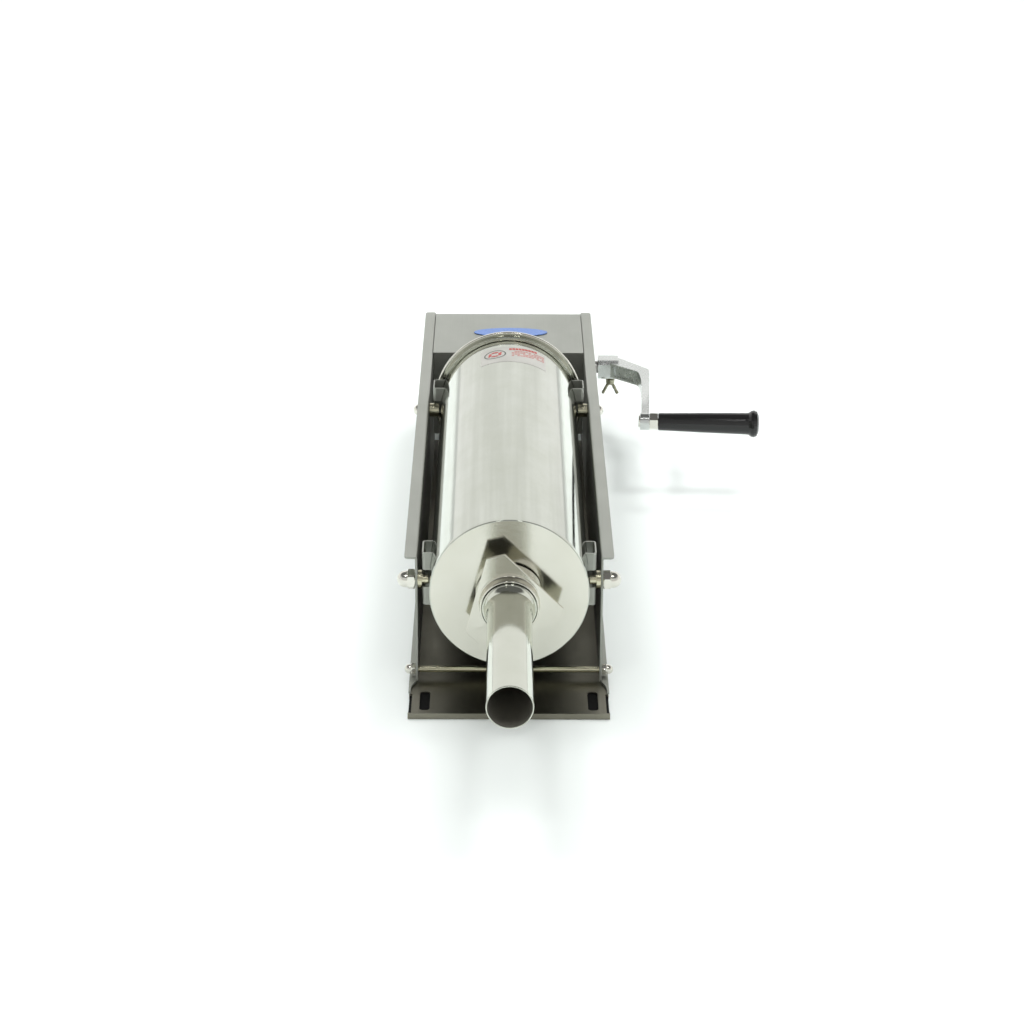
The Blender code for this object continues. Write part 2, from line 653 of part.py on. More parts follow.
def make_nozzle():
    inside = NOZZLE_R - NOZZLE_WALL
    nozzle = turned("nozzle", [
        (inside, NOZZLE_TIP), (NOZZLE_R, NOZZLE_TIP), (NOZZLE_R, 0.044), (0.0206, 0.040), (0.0222, 0.0355),
        (NECK_R - 0.0005, 0.0325), (NECK_R, NECK_FRONT), (NECK_R, 0.0204), (FLANGE_R, 0.0204),
        (FLANGE_R, NOZZLE_BASE), (0.0215, NOZZLE_BASE), (0.0215, 0.031), (inside, 0.042),
    ], POLISHED, 48, closed=True)
    forward(nozzle, TUBE_FRONT)
    gasket = turned("nozzle_gasket", [
        (0.0262, NOZZLE_BASE - GAP), (0.0262, SPIGOT_LENGTH + GAP), (0.0218, SPIGOT_LENGTH + GAP),
        (0.0218, NOZZLE_BASE - GAP),
    ], SILICONE, 40, closed=True)
    forward(gasket, TUBE_FRONT)

    outline = []
    for turn in (105, 225, 345):
        angle = math.radians(turn)
        for offset in (-NUT_LOBE_HALF, NUT_LOBE_HALF):
            outline.append((
                NUT_LOBE_R * math.cos(angle) - offset * math.sin(angle),
                NUT_LOBE_R * math.sin(angle) + offset * math.cos(angle)))
    nut = prism("nozzle_nut", outline, "Z", NUT_PLATE_BACK, NUT_PLATE_FRONT, POLISHED)
    collar = turned("nut_collar", [
        (0, NECK_FRONT), (NUT_BORE_R + 0.0010, NECK_FRONT), (NUT_BORE_R + 0.0016, NECK_FRONT - 0.0006),
        (NUT_BORE_R + 0.0016, NUT_PLATE_FRONT + 0.0025), (NUT_BORE_R + 0.0026, NUT_PLATE_FRONT - 0.0005),
        (NUT_COLLAR_R, NUT_PLATE_FRONT - 0.0010), (NUT_COLLAR_R, NUT_BACK), (0, NUT_BACK),
    ], None, 48)
    bore = turned("nut_bore", [
        (0, 0.05), (NUT_BORE_R, 0.05), (NUT_BORE_R, 0.0210), (NUT_THREAD_R, 0.0210),
        (NUT_THREAD_R, -0.01), (0, -0.01),
    ], None, 48)
    join(nut, collar)
    cut(nut, bore)
    for obj in (nut, collar, bore):
        forward(obj, TUBE_FRONT)


# ---------------------------------------------------------------- studs, rod and nuts

def make_cap_nut(name, flats, base, dome_r, dome, bore_r, x, y, z, side):
    nut = prism(name, hexagon(flats), "Z", x, x + base, PLATED)
    shoulder = x + base + dome - dome_r
    profile = [(0, x + base + dome)]
    for degrees in (65, 40, 15, 0):
        profile.append((
            dome_r * math.cos(math.radians(degrees)), shoulder + dome_r * math.sin(math.radians(degrees))))
    profile += [(dome_r, x + base * 0.5), (0, x + base * 0.5)]
    cap = turned(name + "_dome", profile, None, 20)
    hole = rod(name + "_bore", bore_r, x - 0.01, x + base + dome * 0.55, None, 20)
    join(nut, cap)
    cut(nut, hole)
    for obj in (nut, cap, hole):
        along_x(obj, 0, y, z, side)
    return nut


def make_fasteners():
    seat = WALL_OUT + GAP
    for word, side in (("left", -1), ("right", 1)):
        shoulder = (WALL_IN - GAP, BRACKET_OUT + GAP)
        pivot = turned("pivot_stud_" + word, [
            (0, seat + 0.0110), (0.0046, seat + 0.0110), (0.0050, seat + 0.0100), (0.0050, shoulder[0]),
            (0.0085, shoulder[0]), (0.0085, shoulder[1]), (STUD_R, shoulder[1]), (STUD_R, 0.0745),
            (STUD_R - 0.0005, 0.0740), (0, 0.0740),
        ], ZINC, 28)
        along_x(pivot, 0, PIVOT_Y, PIVOT_Z, side)
        make_cap_nut(
            "pivot_cap_nut_" + word, 0.017, 0.0062, 0.0078, 0.0105, 0.0053, seat, PIVOT_Y, PIVOT_Z, side)
        hook = turned("hook_stud_" + word, [
            (0, seat + 0.0090), (0.0036, seat + 0.0090), (0.0040, seat + 0.0080), (0.0040, shoulder[0]),
            (HOOK_R, shoulder[0]), (HOOK_R, 0.0745), (HOOK_R - 0.0005, 0.0740), (0, 0.0740),
        ], ZINC, 28)
        along_x(hook, 0, HOOK_Y, HOOK_Z, side)
        make_cap_nut(
            "hook_cap_nut_" + word, 0.013, 0.0055, 0.0060, 0.0095, 0.0043, seat, HOOK_Y, HOOK_Z, side)
        make_cap_nut(
            "rod_cap_nut_" + word, 0.010, 0.0040, 0.0045, 0.0066, 0.0033, seat, ROD_Y, ROD_Z, side)
    reach = seat + 0.0060
    tie_rod = turned("tie_rod", [
        (0, reach), (ROD_R - 0.0004, reach), (ROD_R, reach - 0.0004), (ROD_R, 0.0004 - reach),
        (ROD_R - 0.0004, -reach), (0, -reach),
    ], ZINC, 24)
    along_x(tie_rod, 0, ROD_Y, ROD_Z)


# ---------------------------------------------------------------- crank

def make_crank():
    low = CRANK_Z - ARM_HALF_Z
    high = CRANK_Z + ARM_HALF_Z
    across = (math.cos(ARM_LEAN), -math.sin(ARM_LEAN))
    along = (math.sin(ARM_LEAN), math.cos(ARM_LEAN))

    def beside(point, sideways, backward=0.0):
        return (
            point[0] + across[0] * sideways + along[0] * backward,
            point[1] + across[1] * sideways + along[1] * backward)

    half = ARM_WIDTH / 2
    root = HUB_IN + 0.0010
    outside = beside(ELBOW, 0.0050, -0.004)
    arm = prism("crank_arm", [
        (root, CRANK_Y + 0.0105), (0.1265, CRANK_Y + 0.0105),
        (outside[0] - 0.0030, outside[1] + 0.0034), (outside[0] - 0.0008, outside[1] + 0.0002),
        beside(ELBOW, 0.0050, -0.0080), beside(GRIP_AT, 0.0048, -0.002), beside(GRIP_AT, -0.0038, -0.002),
        beside(GRIP_AT, -0.0038, 0.086), beside(GRIP_AT, -0.0050, 0.111), beside(GRIP_AT, -0.0064, 0.123),
        (0.1492, 0.6630), (0.1476, 0.6685), (0.1150, CRANK_Y - 0.0085), (root, CRANK_Y - 0.0085),
    ], "Z", low, high, CAST)
    hub_outline = rounded_rectangle(
        (CRANK_Y - 0.0115, CRANK_Z - 0.0118), (CRANK_Y + 0.0145, CRANK_Z + 0.0106), 0.0042, 1)
    hub = prism("crank_hub", hub_outline, "X", HUB_IN, HUB_OUT)
    boss = rod("crank_boss", 0.0095, -half, half)
    boss.rotation_euler = (0, math.pi / 2, -ARM_LEAN)
    boss.location = (GRIP_AT[0], GRIP_AT[1], CRANK_Z)
    join(arm, hub, boss)
    slant = math.atan2(0.6685 - CRANK_Y + 0.0085, 0.1476 - 0.1150)
    pocket = []
    for run, depth in ((0.0090, 0.010), (0.0385, 0.010), (0.0385, -0.0022), (0.0090, -0.0022)):
        pocket.append((
            0.1150 + run * math.cos(slant) + depth * math.sin(slant),
            CRANK_Y - 0.0085 + run * math.sin(slant) - depth * math.cos(slant)))
    recess = prism("arm_pocket", pocket, "Z", CRANK_Z - 0.0060, CRANK_Z + 0.0062)
    hole = along_x(rod("hub_bore", SHAFT_R + GAP, 0.09, HUB_BORE_END), 0, CRANK_Y, CRANK_Z)
    boss_hole = rod("boss_bore", SPINDLE_R + GAP, -0.02, 0.02, None, 24)
    boss_hole.rotation_euler = boss.rotation_euler
    boss_hole.location = boss.location
    tapping = rod("screw_tapping", 0.0033, -0.03, 0.0, None, 24)
    tapping.location = (SCREW_X, CRANK_Y, CRANK_Z)
    cut(arm, recess, hole, boss_hole, tapping)

    wing = rod("wing_screw", 0.003, CRANK_Z - 0.024, CRANK_Z - SHAFT_R - GAP, PLATED, 24)
    wing.location = (SCREW_X, CRANK_Y, 0)
    collar = turned("wing_collar", [
        (0, CRANK_Z - 0.0140), (0.0040, CRANK_Z - 0.0140), (0.0048, CRANK_Z - 0.0200),
        (0.0042, CRANK_Z - 0.0248), (0, CRANK_Z - 0.0248)], None, 24)
    collar.location = wing.location
    outline = [
        (-0.0030, -0.0150), (-0.0102, -0.0300), (-0.0098, -0.0325), (-0.0070, -0.0332), (-0.0015, -0.0228),
        (0.0015, -0.0228), (0.0070, -0.0332), (0.0098, -0.0325), (0.0102, -0.0300), (0.0030, -0.0150),
    ]
    wings = prism(
        "wing_ears", [(SCREW_X + a, CRANK_Z + b) for a, b in outline], "Y",
        CRANK_Y - 0.0013, CRANK_Y + 0.0013)
    join(wing, collar, wings)

    start = GRIP_START
    end = GRIP_END
    turn = (0, math.pi / 2, -ARM_LEAN)
    place = (GRIP_AT[0], GRIP_AT[1], CRANK_Z)
    spindle = turned("grip_spindle", [
        (0, end - 0.012), (SPINDLE_R - 0.0006, end - 0.012), (SPINDLE_R, end - 0.0126),
        (SPINDLE_R, -half - GAP), (0.0068, -half - GAP), (0.0068, -half - 0.0012),
        (0.0058, -half - 0.0018), (0, -half - 0.0018),
    ], PLATED, 24)
    lock = prism("grip_lock_nut", hexagon(0.0170), "Z", half + GAP, start - GAP, PLATED)
    lock_hole = rod("lock_bore", SPINDLE_R + GAP, 0.0, 0.03, None, 24)
    cut(lock, lock_hole)
    grip = turned("grip", [
        (0, end), (0.0100, end - 0.0004), (0.0136, end - 0.0022), (0.0150, end - 0.0055),
        (0.0142, end - 0.0085), (0.0122, end - 0.0112), (0.0119, end - 0.0150), (0.0110, start + 0.050),
        (0.0098, start + 0.010), (0.0096, start + 0.001), (0.0086, start), (SPINDLE_R + GAP, start),
        (SPINDLE_R + GAP, end - 0.0110), (0, end - 0.0110),
    ], GLOSS_BLACK, 32)
    for obj in (spindle, lock, lock_hole, grip):
        obj.rotation_euler = turn
        obj.location = place


make_tray()
make_corner_pads()
make_side_plate("side_plate_left", -1)
make_side_plate("side_plate_right", 1)
make_gearbox()
make_cover_screws()
make_gear_train()
make_rack()
make_piston()
make_cylinder()
make_brackets()
make_nozzle()
make_fasteners()
make_crank()
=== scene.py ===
"""Looks of the sausage stuffer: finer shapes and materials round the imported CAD, in metres."""

import json
import math
import random

import bmesh
import bpy
from mathutils import Matrix, Vector


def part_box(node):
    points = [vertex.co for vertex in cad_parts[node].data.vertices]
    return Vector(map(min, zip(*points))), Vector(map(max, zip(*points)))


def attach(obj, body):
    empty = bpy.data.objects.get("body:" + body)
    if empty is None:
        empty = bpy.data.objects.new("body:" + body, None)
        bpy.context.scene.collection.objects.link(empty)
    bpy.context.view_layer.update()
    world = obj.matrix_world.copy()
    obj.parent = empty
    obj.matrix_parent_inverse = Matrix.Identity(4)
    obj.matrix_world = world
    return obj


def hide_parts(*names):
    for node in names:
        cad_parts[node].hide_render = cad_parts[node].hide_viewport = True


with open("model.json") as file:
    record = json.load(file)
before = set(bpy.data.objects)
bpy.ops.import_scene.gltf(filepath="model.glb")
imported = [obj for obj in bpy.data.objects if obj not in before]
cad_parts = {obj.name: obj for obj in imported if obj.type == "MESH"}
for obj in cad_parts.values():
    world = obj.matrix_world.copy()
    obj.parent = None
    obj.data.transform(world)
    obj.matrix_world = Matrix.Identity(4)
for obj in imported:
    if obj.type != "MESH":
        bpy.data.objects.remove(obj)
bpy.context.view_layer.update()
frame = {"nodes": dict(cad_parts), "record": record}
record = frame["record"]
node_objects = frame["nodes"]
body_of_node = {
    node: body for body, nodes in record["behaviour"]["bodies"].items() for node in nodes}
slot_of_node = {row["node"]: row["material_slot"] for row in record["subparts"]}
place_of_joint = {
    row["name"]: row["pos_m"] for row in record["behaviour"]["joints"] if "pos_m" in row}
chance = random.Random(7)

# Places and sizes that more than one piece shares.
AXIS_Z = place_of_joint["nut_turn"][2]
SCREW_Y = place_of_joint["clamp_turn"][1]
DISC_Y = 0.016
SPIGOT_LENGTH = 0.016
SPIGOT_R = 0.0265
SPIGOT_BORE_R = 0.0213
TUBE_R = 0.072
TUBE_WALL = 0.0015
NOZZLE_R = 0.0199
NOZZLE_BORE_R = 0.0189
NUT_TURN = math.radians(5)
MARK_AT = (-0.0146, 0.4495)
WALL_FOLD = (0.0844, 0.1275, 0.0003, 0.0024)

# The camera, fitted to the photo's straight edges and circles.
CAMERA_AT = (-0.0082, -1.995, 1.0724)
CAMERA_PITCH = math.radians(23.55)
CAMERA_YAW = math.radians(0.29)
CAMERA_ROLL = math.radians(0.30)
CAMERA_LENS = 87.12
CAMERA_SENSOR = 36.0

# World brightness: WORLD_BRIGHT low down and at the back, WORLD_DARK overhead and in front, with
# a soft edge between them that leans back, and a patch in front and at the sides of FRONT_GLOW.
WORLD_LEAN = 0.36
WORLD_EDGE = (0.34, 0.52)
WORLD_BRIGHT = 1.12
WORLD_DARK = 0.17
WORLD_COLOUR = (1.0, 1.0, 0.985, 1.0)
FRONT_GLOW = 0.75
GLOW_OUTWARD = (0.35, 0.75)
GLOW_HEIGHT = (0.50, 0.78)

# The floor glows a little from FLOOR_FADE[0] outwards, so that it stays white far from the lamps.
FLOOR_REACH = 14.0
FLOOR_DROP = 0.0002
FLOOR_COLOUR = (0.895, 0.94, 0.925, 1)
FLOOR_FADE = (0.9, 3.2)
FLOOR_GLOW = 0.28

# Name, direction from the machine, distance, size, power in watts, shows in reflections.
LAMPS = (
    ("overhead_fill", (0.0, 0.05, 1.0), 3.2, (3.4, 3.4), 52.0, False),
    ("right_high", (0.42, 0.16, 1.0), 2.6, (0.45, 0.45), 10.0, False),
    ("left_high", (-0.42, 0.16, 1.0), 2.6, (0.45, 0.45), 10.0, False),
    ("right_back", (0.30, 0.80, 0.95), 2.8, (0.6, 0.5), 12.0, False),
    ("left_back", (-0.30, 0.80, 0.95), 2.8, (0.6, 0.5), 12.0, False),
    ("low_back", (0.0, 1.0, 0.09), 2.4, (0.9, 0.16), 5.0, False),
    ("front_strip_left", (-0.16, -0.42, 0.90), 2.4, (0.22, 0.34), 3.2, True),
    ("front_strip_right", (0.16, -0.42, 0.90), 2.4, (0.22, 0.34), 3.2, True),
)
LAMP_AIM = Vector((0.0, 0.3, 0.05))


# ------------------------------------------------------------------ camera and studio

def make_camera():
    """In front, a little to the left, looking down along the machine."""
    forward = math.cos(CAMERA_PITCH)
    ahead = Vector((
        math.sin(CAMERA_YAW) * forward, math.cos(CAMERA_YAW) * forward, -math.sin(CAMERA_PITCH)))
    level = Vector((math.cos(CAMERA_YAW), -math.sin(CAMERA_YAW), 0.0))
    upright = level.cross(ahead)
    right = level * math.cos(CAMERA_ROLL) + upright * math.sin(CAMERA_ROLL)
    up = upright * math.cos(CAMERA_ROLL) - level * math.sin(CAMERA_ROLL)
    data = bpy.data.cameras.new("camera")
    data.lens = CAMERA_LENS
    data.sensor_width = CAMERA_SENSOR
    data.clip_end = 60.0
    camera = bpy.data.objects.new("camera", data)
    rotation = Matrix((right, up, -ahead)).transposed()
    camera.matrix_world = Matrix.Translation(CAMERA_AT) @ rotation.to_4x4()
    bpy.context.scene.collection.objects.link(camera)
    bpy.context.scene.camera = camera


def make_lamp(name, direction, distance, size, power, glossy):
    """A soft box that shines at the machine from a direction. Some don't show in reflections."""
    data = bpy.data.lights.new(name, "AREA")
    data.shape = "RECTANGLE"
    data.size = size[0]
    data.size_y = size[1]
    data.energy = power
    lamp = bpy.data.objects.new(name, data)
    lamp.location = LAMP_AIM + Vector(direction).normalized() * distance
    lamp.rotation_euler = (LAMP_AIM - lamp.location).to_track_quat("-Z", "Y").to_euler()
    lamp.visible_glossy = glossy
    bpy.context.scene.collection.objects.link(lamp)


def maths(tree, operation, *values):
    """A Math node. Each value is a number or another node's output."""
    node = tree.nodes.new("ShaderNodeMath")
    node.operation = operation
    for socket, value in zip(node.inputs, values):
        if isinstance(value, (int, float)):
            socket.default_value = value
        else:
            tree.links.new(value, socket)
    return node.outputs[0]


def ranged(tree, source, low, high, to_low, to_high, soft=True):
    """Maps low..high to to_low..to_high, with soft ends or straight."""
    node = tree.nodes.new("ShaderNodeMapRange")
    if soft:
        node.interpolation_type = "SMOOTHSTEP"
    node.inputs["From Min"].default_value = low
    node.inputs["From Max"].default_value = high
    node.inputs["To Min"].default_value = to_low
    node.inputs["To Max"].default_value = to_high
    tree.links.new(source, node.inputs["Value"])
    return node.outputs["Result"]


def make_world():
    """White low down and behind the machine, dark overhead."""
    world = bpy.data.worlds.new("studio")
    bpy.context.scene.world = world
    world.use_nodes = True
    tree = world.node_tree
    background = tree.nodes["Background"]
    where = tree.nodes.new("ShaderNodeTexCoord")
    split = tree.nodes.new("ShaderNodeSeparateXYZ")
    tree.links.new(where.outputs["Generated"], split.inputs[0])
    leaning = maths(tree, "MULTIPLY_ADD", split.outputs["Y"], -WORLD_LEAN, 0.0)
    above = maths(tree, "ADD", leaning, split.outputs["Z"])
    base = ranged(tree, above, *WORLD_EDGE, WORLD_BRIGHT, WORLD_DARK)
    sideways = maths(tree, "ABSOLUTE", split.outputs["X"])
    forward = maths(tree, "MULTIPLY", split.outputs["Y"], -1.0)
    outward = maths(tree, "MAXIMUM", sideways, forward)
    ahead = ranged(tree, outward, *GLOW_OUTWARD, 0.0, FRONT_GLOW)
    below = ranged(tree, split.outputs["Z"], *GLOW_HEIGHT, 1.0, 0.0)
    glow = maths(tree, "MULTIPLY", ahead, below)
    tree.links.new(maths(tree, "MAXIMUM", glow, base), background.inputs["Strength"])
    background.inputs["Color"].default_value = WORLD_COLOUR
    bpy.context.scene.view_settings.view_transform = "Standard"
    bpy.context.scene.view_settings.look = "None"


def make_floor():
    """Plain white paper, just under the machine's feet."""
    mesh = bpy.data.meshes.new("floor")
    r = FLOOR_REACH
    mesh.from_pydata([(-r, -r, 0), (r, -r, 0), (r, r, 0), (-r, r, 0)], [], [(0, 1, 2, 3)])
    floor = bpy.data.objects.new("floor", mesh)
    floor.location.z = -FLOOR_DROP
    bpy.context.scene.collection.objects.link(floor)
    paper = bpy.data.materials.new("floor_paper")
    paper.use_nodes = True
    tree = paper.node_tree
    shader = tree.nodes["Principled BSDF"]
    shader.inputs["Base Color"].default_value = FLOOR_COLOUR
    shader.inputs["Roughness"].default_value = 0.9
    shader.inputs["Specular IOR Level"].default_value = 0.1
    spot = tree.nodes.new("ShaderNodeTexCoord")
    length = tree.nodes.new("ShaderNodeVectorMath")
    length.operation = "LENGTH"
    tree.links.new(spot.outputs["Object"], length.inputs[0])
    glow = ranged(tree, length.outputs["Value"], *FLOOR_FADE, 0.0, FLOOR_GLOW)
    shader.inputs["Emission Color"].default_value = (1.0, 1.0, 0.99, 1)
    tree.links.new(glow, shader.inputs["Emission Strength"])
    mesh.materials.append(paper)


# ------------------------------------------------------------------ materials

class Recipe:
    """Wires one node material. Scales are in features per metre along X, Y and Z."""

    def __init__(self, name):
        self.material = bpy.data.materials.new(name)
        self.material.use_nodes = True
        self.tree = self.material.node_tree
        self.shader = self.tree.nodes["Principled BSDF"]
        self.place = self.tree.nodes.new("ShaderNodeTexCoord").outputs["Object"]

    def link(self, source, target):
        self.tree.links.new(source, target)

    def noise(self, scale, detail=3.0, rough=0.5, place=None):
        mapping = self.tree.nodes.new("ShaderNodeMapping")
        mapping.inputs["Scale"].default_value = scale
        self.link(place or self.place, mapping.inputs["Vector"])
        node = self.tree.nodes.new("ShaderNodeTexNoise")
        node.inputs["Scale"].default_value = 1.0
        node.inputs["Detail"].default_value = detail
        node.inputs["Roughness"].default_value = rough
        self.link(mapping.outputs["Vector"], node.inputs["Vector"])
        return node.outputs["Fac"]

    def round_place(self, centre_x, centre_z):
        """Position as (turn about a Y axis, radius, Y), for grain round a turned piece."""
        shift = self.tree.nodes.new("ShaderNodeVectorMath")
        shift.operation = "SUBTRACT"
        shift.inputs[1].default_value = (centre_x, 0.0, centre_z)
        self.link(self.place, shift.inputs[0])
        split = self.tree.nodes.new("ShaderNodeSeparateXYZ")
        self.link(shift.outputs[0], split.inputs[0])
        turn = self.maths("ARCTAN2", split.outputs["X"], split.outputs["Z"])
        flat_x = self.maths("MULTIPLY", split.outputs["X"], split.outputs["X"])
        flat_z = self.maths("MULTIPLY", split.outputs["Z"], split.outputs["Z"])
        radius = self.maths("SQRT", self.maths("ADD", flat_x, flat_z))
        join = self.tree.nodes.new("ShaderNodeCombineXYZ")
        self.link(turn, join.inputs[0])
        self.link(radius, join.inputs[1])
        self.link(split.outputs["Y"], join.inputs[2])
        return join.outputs[0]

    def span(self, source, low, high, to_low, to_high):
        return ranged(self.tree, source, low, high, to_low, to_high, soft=False)

    def maths(self, operation, *values):
        return maths(self.tree, operation, *values)

    def mix(self, amount, first, second):
        node = self.tree.nodes.new("ShaderNodeMix")
        node.data_type = "RGBA"
        for name, value in (("Factor", amount), ("A", first), ("B", second)):
            socket = [s for s in node.inputs if s.name == name and s.enabled][0]
            if isinstance(value, tuple):
                socket.default_value = (*value, 1.0)
            elif isinstance(value, (int, float)):
                socket.default_value = value
            else:
                self.link(value, socket)
        return [s for s in node.outputs if s.enabled][0]

    def bump(self, height, distance, under=None):
        node = self.tree.nodes.new("ShaderNodeBump")
        node.inputs["Distance"].default_value = distance
        node.inputs["Strength"].default_value = 1.0
        self.link(height, node.inputs["Height"])
        if under is not None:
            self.link(under, node.inputs["Normal"])
        return node.outputs["Normal"]

    def worn(self, amount, reach=0.0006):
        """1 at outer edges, 0 on flat faces, broken up by noise."""
        bevel = self.tree.nodes.new("ShaderNodeBevel")
        bevel.samples = 6
        bevel.inputs["Radius"].default_value = reach
        geometry = self.tree.nodes.new("ShaderNodeNewGeometry")
        dot = self.tree.nodes.new("ShaderNodeVectorMath")
        dot.operation = "DOT_PRODUCT"
        self.link(bevel.outputs["Normal"], dot.inputs[0])
        self.link(geometry.outputs["Normal"], dot.inputs[1])
        edge = self.span(dot.outputs["Value"], 0.97, 0.72, 0.0, amount)
        return self.maths("MULTIPLY", edge, self.noise((220, 220, 220), 4.0, 0.7))

    def set(self, name, value):
        socket = self.shader.inputs[name]
        if isinstance(value, tuple):
            socket.default_value = (*value, 1.0)
        elif isinstance(value, (int, float)):
            socket.default_value = value
        else:
            self.link(value, socket)


def brushed(
        name, colour, stained, rough, grain, depth, stain=0.6, turned=False,
        cloud_scale=(26, 16, 26), metallic=1.0, streak=0.0):
    """Metal with a grain along one direction, soft stains, uneven roughness and worn edges.

    grain is in lines per metre along X, Y and Z, or round, outward and along a turned piece.
    """
    m = Recipe(name)
    place = m.round_place(0.0, AXIS_Z) if turned else None
    cloud = m.noise(cloud_scale, 4.0, 0.6)
    fine = m.noise(grain, 2.0, 0.5, place)
    tone = m.mix(m.span(cloud, 0.35, 0.7, 0.0, stain), colour, stained)
    if streak:
        band = m.noise((3.4, 0.0, 1.6), 3.0, 0.55, place)
        deep = tuple(c * 0.80 for c in stained)
        tone = m.mix(m.span(band, 0.40, 0.62, streak, 0.0), tone, deep)
    rubbed = tuple(min(1.0, c * 1.25) for c in colour)
    m.set("Base Color", m.mix(m.worn(0.5), tone, rubbed))
    m.set("Metallic", metallic)
    blotch = m.span(cloud, 0.3, 0.75, rough[0], rough[1])
    m.set("Roughness", m.maths("ADD", blotch, m.span(fine, 0.3, 0.7, -0.03, 0.03)))
    m.set("Normal", m.bump(fine, depth))
    return m.material


def coated(name, colour, rough, depth, scale, spread=0.85, gloss=0.5):
    """Plastic, rubber or enamel: fine orange peel, slightly uneven tone and gloss."""
    m = Recipe(name)
    speckle = m.noise((scale, scale, scale), 3.0, 0.6)
    darker = tuple(c * spread for c in colour)
    m.set("Base Color", m.mix(m.span(speckle, 0.3, 0.7, 0.0, 1.0), colour, darker))
    m.set("Roughness", m.span(speckle, 0.3, 0.7, rough[0], rough[1]))
    m.set("Normal", m.bump(speckle, depth))
    m.set("Specular IOR Level", gloss)
    return m.material


SATIN = brushed(
    "satin_sheet", (0.345, 0.357, 0.322), (0.320, 0.332, 0.298), (0.36, 0.42),
    (2600, 12, 2600), 0.0000012, metallic=0.62)
# The tray's sheet is darker than the other sheet metal: painted shade for its floor and front lip.
TRAY_PAINTED_SHADE = brushed(
    "tray_sheet_painted_shade", (0.25, 0.24, 0.195), (0.21, 0.20, 0.16), (0.32, 0.40),
    (2200, 10, 2200), 0.0000010)
TUBE = brushed(
    "brushed_tube", (0.585, 0.605, 0.55), (0.515, 0.535, 0.465), (0.060, 0.095),
    (5, 60, 950), 0.0000085, 0.8, True, (34, 24, 34), streak=0.55)
MIRROR = brushed(
    "polished_disc", (0.675, 0.665, 0.595), (0.62, 0.61, 0.53), (0.12, 0.17),
    (4, 1200, 60), 0.0000008, 0.6, True)
NOZZLE = brushed(
    "polished_nozzle", (0.585, 0.60, 0.53), (0.525, 0.54, 0.465), (0.06, 0.11),
    (5, 60, 900), 0.0000018, 0.6, True)
BORE = brushed(
    "nozzle_bore", (0.30, 0.29, 0.25), (0.24, 0.23, 0.20), (0.30, 0.38),
    (5, 60, 900), 0.000002, metallic=0.35)
ZINC = brushed(
    "yellow_zinc", (0.62, 0.60, 0.45), (0.52, 0.50, 0.35), (0.18, 0.26),
    (300, 300, 300), 0.0000012)
PLATED = brushed(
    "bright_plating", (0.72, 0.71, 0.65), (0.62, 0.60, 0.53), (0.10, 0.16),
    (300, 300, 300), 0.0000012)
CAST = brushed(
    "cast_alloy", (0.64, 0.66, 0.645), (0.57, 0.59, 0.57), (0.22, 0.30),
    (420, 420, 420), 0.000003)
STEEL = brushed(
    "machined_steel", (0.45, 0.45, 0.43), (0.32, 0.31, 0.29), (0.26, 0.38),
    (900, 900, 60), 0.000006)
BRONZE = brushed(
    "bearing_bronze", (0.58, 0.39, 0.18), (0.45, 0.29, 0.12), (0.25, 0.38),
    (60, 900, 900), 0.000006)
OLIVE = brushed(
    "dark_plating", (0.34, 0.33, 0.25), (0.24, 0.23, 0.16), (0.22, 0.34),
    (300, 300, 300), 0.000006)
BLACK = coated("gloss_black", (0.010, 0.010, 0.010), (0.10, 0.17), 0.000006, 260)
# Near-black corner pads seen through the tray's slots and notches: the feet's own black rubber, and
# painted shade for the dark under the tray.
RUBBER_AND_SHADE = coated("black_rubber", (0.006, 0.006, 0.006), (0.60, 0.80), 0.00004, 700, gloss=0.12)
NYLON = coated("white_nylon", (0.80, 0.80, 0.76), (0.38, 0.5), 0.00001, 700)
SILICONE = coated("grey_silicone", (0.40, 0.40, 0.39), (0.5, 0.62), 0.00002, 900)
BLUE = coated("blue_enamel", (0.10, 0.20, 0.50), (0.25, 0.36), 0.000006, 500)

SLOT_MATERIALS = {
    "satin": SATIN, "polished": MIRROR, "zinc": ZINC, "plated": PLATED, "cast": CAST,
    "steel": STEEL, "bronze": BRONZE, "black_grip": BLACK, "nylon": NYLON,
    "silicone": SILICONE, "blue": BLUE, "rubber": RUBBER_AND_SHADE,
}


def dress(obj, material):
    obj.data.materials.clear()
    obj.data.materials.append(material)


for node_name, node_obj in node_objects.items():
    for node_slot in node_obj.material_slots:
        node_slot.material = SLOT_MATERIALS[slot_of_node[node_name]]


# ------------------------------------------------------------------ helpers for finer pieces

def add_piece(name, mesh, material, body, replaces=()):
    obj = bpy.data.objects.new(name, mesh)
    bpy.context.scene.collection.objects.link(obj)
    dress(obj, material)
    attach(obj, body)
    if replaces:
        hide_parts(*replaces)
    return obj


def shade(mesh, angle=32.0):
    for face in mesh.polygons:
        face.use_smooth = True
    mesh.set_sharp_from_angle(angle=math.radians(angle))


def mesh_from(name, points, faces, angle=32.0):
    mesh = bpy.data.meshes.new(name)
    mesh.from_pydata(points, [], faces)
    work = bmesh.new()
    work.from_mesh(mesh)
    bmesh.ops.remove_doubles(work, verts=work.verts, dist=0.000002)
    bmesh.ops.recalc_face_normals(work, faces=work.faces)
    work.to_mesh(mesh)
    work.free()
    shade(mesh, angle)
    return mesh


